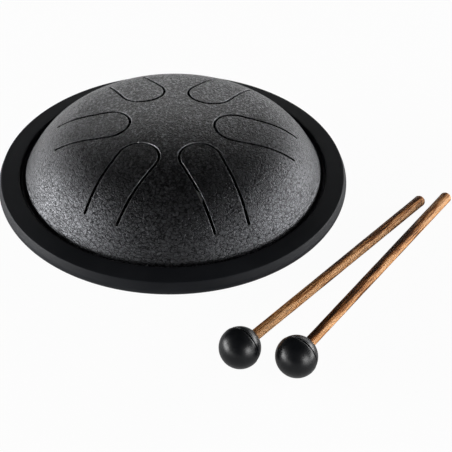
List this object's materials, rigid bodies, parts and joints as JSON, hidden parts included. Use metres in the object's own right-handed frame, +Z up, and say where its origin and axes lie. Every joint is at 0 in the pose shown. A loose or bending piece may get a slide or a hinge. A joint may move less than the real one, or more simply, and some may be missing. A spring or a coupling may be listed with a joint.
{
  "type": "steel tongue drum",
  "caption": "Shallow domed steel tongue drum with a rubber edge ring, a sound hole, rubber feet and wooden mallets with rubber heads.",
  "frame": {"origin": "centre of the sound hole, on the outside of the base, which is on the axis of the drum", "axes": "+Z up along the axis of the drum, -Y towards the player and the picture's camera, +X to the player's right"},
  "size_m": [0.2475, 0.2115, 0.0582],
  "materials": {
    "coated_steel": "satin, finely wrinkled coating",
    "weld_metal": "as welded",
    "ring_rubber": "matt",
    "foot_rubber": "matt",
    "head_rubber": "satin",
    "shaft_wood": "satin oil, dark streaks along the grain"
  },
  "bodies": {
    "drum": {"top_shell": "coated_steel", "bottom_shell": "coated_steel", "seam_weld": "weld_metal", "edge_ring": "ring_rubber", "foot_1": "foot_rubber", "foot_2": "foot_rubber", "foot_3": "foot_rubber", "foot_4": "foot_rubber"},
    "left_mallet": {"left_mallet_head": "head_rubber", "left_mallet_shaft": "shaft_wood"},
    "right_mallet": {"right_mallet_head": "head_rubber", "right_mallet_shaft": "shaft_wood"}
  },
  "joints": [
    {"name": "left_mallet_lift", "type": "slide", "parent": "drum", "child": "left_mallet", "axis": [0, 0, 1], "range_m": [0, 0.08]},
    {"name": "right_mallet_lift", "type": "slide", "parent": "drum", "child": "right_mallet", "axis": [0, 0, 1], "range_m": [0, 0.08]}
  ]
}
